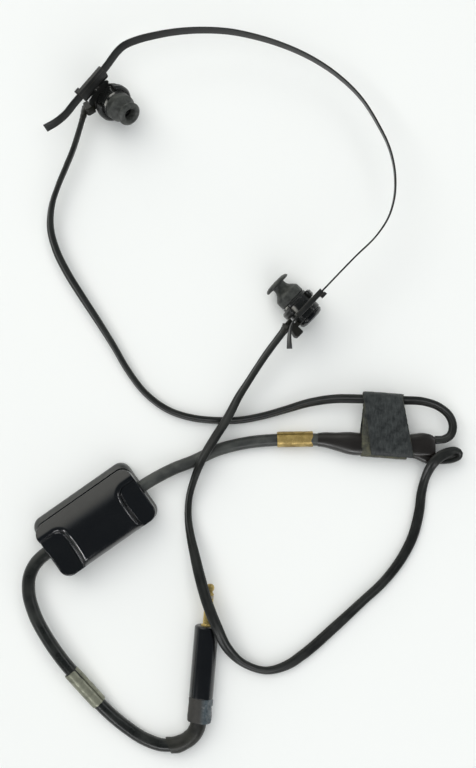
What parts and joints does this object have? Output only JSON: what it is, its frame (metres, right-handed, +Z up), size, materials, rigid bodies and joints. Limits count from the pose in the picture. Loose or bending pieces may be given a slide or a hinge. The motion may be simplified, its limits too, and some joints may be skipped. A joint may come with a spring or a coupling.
{
  "type": "aviation headset",
  "caption": "Lightweight aviation headset with a thin sliding headband, button receivers with soft ear inserts, flat leads, a strapped junction, a transformer box and a phone plug.",
  "frame": {"origin": "on the table under the middle of the headband with its receivers, whose box of extents is centred on X and Y; Z = 0 is the table", "axes": "+X along the headband's width as it lies, +Y towards the top of its arch, +Z up from the table"},
  "size_m": [0.3199, 0.5239, 0.0397],
  "materials": {
    "band_paint": "worn satin black",
    "plated_steel": "dull plated",
    "nickel_plate": "satin nickel",
    "black_phenolic": "polished",
    "iron_sheet": "bare",
    "enamelled_copper": "enamelled wire",
    "olive_moulding": "matte",
    "cord_rubber": "satin",
    "insert_rubber": "matte",
    "strap_leather": "scuffed",
    "brass": "satin",
    "insulating_board": "matte",
    "friction_tape": "tacky matte"
  },
  "bodies": {
    "headset": {"headband": "band_paint", "left_lead": "cord_rubber", "right_lead": "cord_rubber", "junction_block": "black_phenolic", "keeper_strap": "strap_leather", "brass_tag": "brass", "main_cord_upper": "cord_rubber", "box_base": "black_phenolic", "box_cover": "black_phenolic", "box_screws": "plated_steel", "laminated_core": "iron_sheet", "coil_bobbin": "insulating_board", "transformer_winding": "enamelled_copper", "terminal_strip": "insulating_board", "upper_grommet": "cord_rubber", "lower_grommet": "cord_rubber", "main_cord_lower": "cord_rubber", "nickel_tag": "nickel_plate", "plug_shell": "black_phenolic", "sleeve_contact": "brass", "tip_contact": "brass", "plug_insulators": "insulating_board", "terminal_screws": "brass", "tape_wrap": "friction_tape", "cord_sleeve": "cord_rubber"},
    "left_slider": {"left_slider_clip": "band_paint", "left_pivot_rivet": "plated_steel"},
    "left_receiver": {"left_swing_arm": "band_paint", "left_receiver_case": "nickel_plate", "left_case_back": "black_phenolic", "left_retaining_ring": "band_paint", "left_front_cap": "nickel_plate", "left_diaphragm": "iron_sheet", "left_magnet": "iron_sheet", "left_pole_piece": "iron_sheet", "left_coil": "enamelled_copper", "left_cord_connector": "olive_moulding", "left_strain_relief": "cord_rubber"},
    "left_insert": {"left_ear_insert": "insert_rubber"},
    "right_slider": {"right_slider_clip": "band_paint", "right_pivot_rivet": "plated_steel"},
    "right_receiver": {"right_swing_arm": "band_paint", "right_receiver_case": "nickel_plate", "right_case_back": "black_phenolic", "right_retaining_ring": "band_paint", "right_front_cap": "nickel_plate", "right_diaphragm": "iron_sheet", "right_magnet": "iron_sheet", "right_pole_piece": "iron_sheet", "right_coil": "enamelled_copper", "right_cord_connector": "olive_moulding", "right_strain_relief": "cord_rubber"},
    "right_insert": {"right_ear_insert": "insert_rubber"}
  },
  "joints": [
    {"name": "left_slide", "type": "slide", "parent": "headset", "child": "left_slider", "axis": [0.6561, 0.7547, 0], "range_m": [-0.005, 0.02], "deforming": ["left_lead"]},
    {"name": "left_swing", "type": "hinge", "parent": "left_slider", "child": "left_receiver", "pos_m": [-0.08865, 0.07339, 0.02453], "axis": [0.5947, -0.517, 0.6157], "range_deg": [-20, 24], "deforming": ["left_strain_relief"]},
    {"name": "left_insert_pull", "type": "slide", "parent": "left_receiver", "child": "left_insert", "axis": [0.5947, -0.517, 0.6157], "range_m": [0, 0.012]},
    {"name": "right_slide", "type": "slide", "parent": "headset", "child": "right_slider", "axis": [0.6947, 0.7193, 0], "range_m": [-0.002, 0.03], "deforming": ["right_lead"]},
    {"name": "right_swing", "type": "hinge", "parent": "right_slider", "child": "right_receiver", "pos_m": [0.063, -0.081, 0.028], "axis": [-0.7193, 0.6947, 0], "range_deg": [-42, 9], "deforming": ["right_strain_relief"]},
    {"name": "right_insert_pull", "type": "slide", "parent": "right_receiver", "child": "right_insert", "axis": [-0.7193, 0.6947, 0], "range_m": [0, 0.012]}
  ]
}
